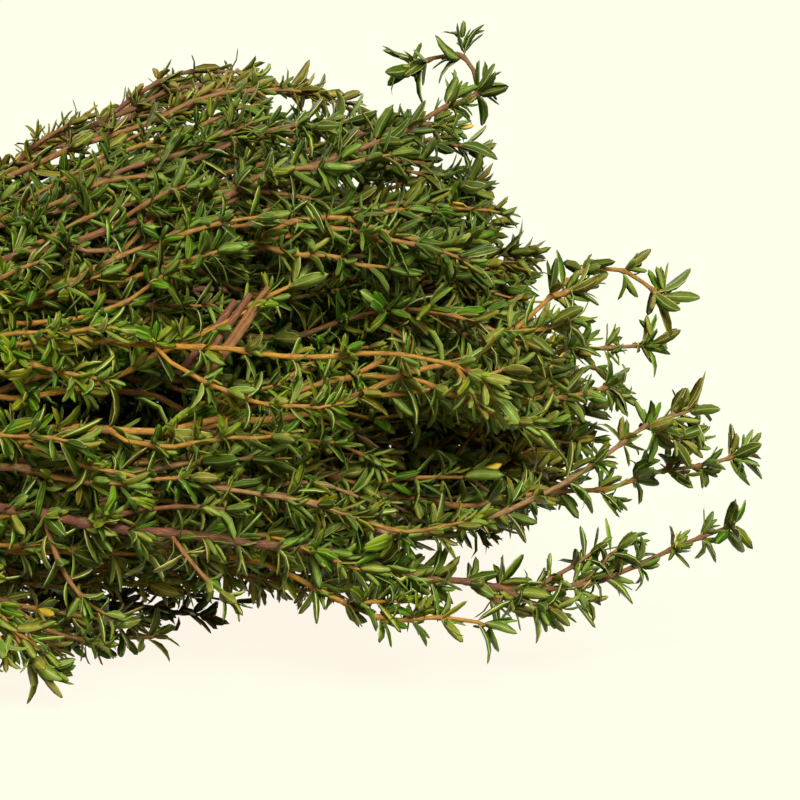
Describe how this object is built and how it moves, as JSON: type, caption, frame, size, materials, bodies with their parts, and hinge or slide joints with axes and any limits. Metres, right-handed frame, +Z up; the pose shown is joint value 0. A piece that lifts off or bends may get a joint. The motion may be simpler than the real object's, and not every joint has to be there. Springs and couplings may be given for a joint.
{
  "type": "thyme bundle",
  "caption": "Bunch of fresh thyme lying on its side: leafy sprigs fan out from bare cut stems held by a rubber band.",
  "frame": {"origin": "middle of the underside of the bounding box, on the table that the bunch lies on", "axes": "+X along the bunch from the cut stem ends to the leafy tips, +Z up, +Y towards the back"},
  "size_m": [0.2, 0.1014, 0.1021],
  "materials": {
    "leaf": "waxy leaf, satin on top and dull grey-green beneath",
    "stem": "thin fibrous bark, ochre to purple-brown",
    "rubber": "natural tan rubber, matt"
  },
  "bodies": {
    "root": {"rubber_band": "rubber", "sprig_01": "leaf", "sprig_02": "leaf", "sprig_03": "leaf", "sprig_04": "leaf", "sprig_05": "leaf", "sprig_06": "leaf", "sprig_07": "leaf", "sprig_08": "leaf", "sprig_09": "leaf", "sprig_10": "leaf", "sprig_11": "leaf", "sprig_12": "leaf", "sprig_13": "leaf", "sprig_14": "leaf", "sprig_15": "leaf", "sprig_16": "leaf", "sprig_17": "leaf", "sprig_18": "leaf", "sprig_19": "leaf", "sprig_20": "leaf", "sprig_21": "leaf", "sprig_22": "leaf", "sprig_23": "leaf", "sprig_24": "leaf", "sprig_25": "leaf", "sprig_26": "leaf", "sprig_27": "leaf", "sprig_28": "leaf", "sprig_29": "leaf", "sprig_30": "leaf", "sprig_31": "leaf", "sprig_32": "leaf", "sprig_33": "leaf", "sprig_34": "leaf", "sprig_35": "leaf", "sprig_36": "leaf", "sprig_37": "leaf", "sprig_38": "leaf", "sprig_39": "leaf", "sprig_40": "leaf", "sprig_41": "leaf", "sprig_42": "leaf", "sprig_crest": "leaf", "sprig_curl": "leaf", "sprig_diagonal": "leaf", "sprig_level": "leaf", "sprig_low_front": "leaf", "sprig_ochre": "leaf", "sprig_ridge": "leaf", "sprig_right_high": "leaf", "sprig_right_reach": "leaf", "sprig_table_hook": "leaf", "sprig_top": "leaf", "sprig_top_back": "leaf", "sprig_upper_fan": "leaf", "sprig_upper_red": "leaf", "sprig_woody": "leaf"}
  },
  "joints": []
}
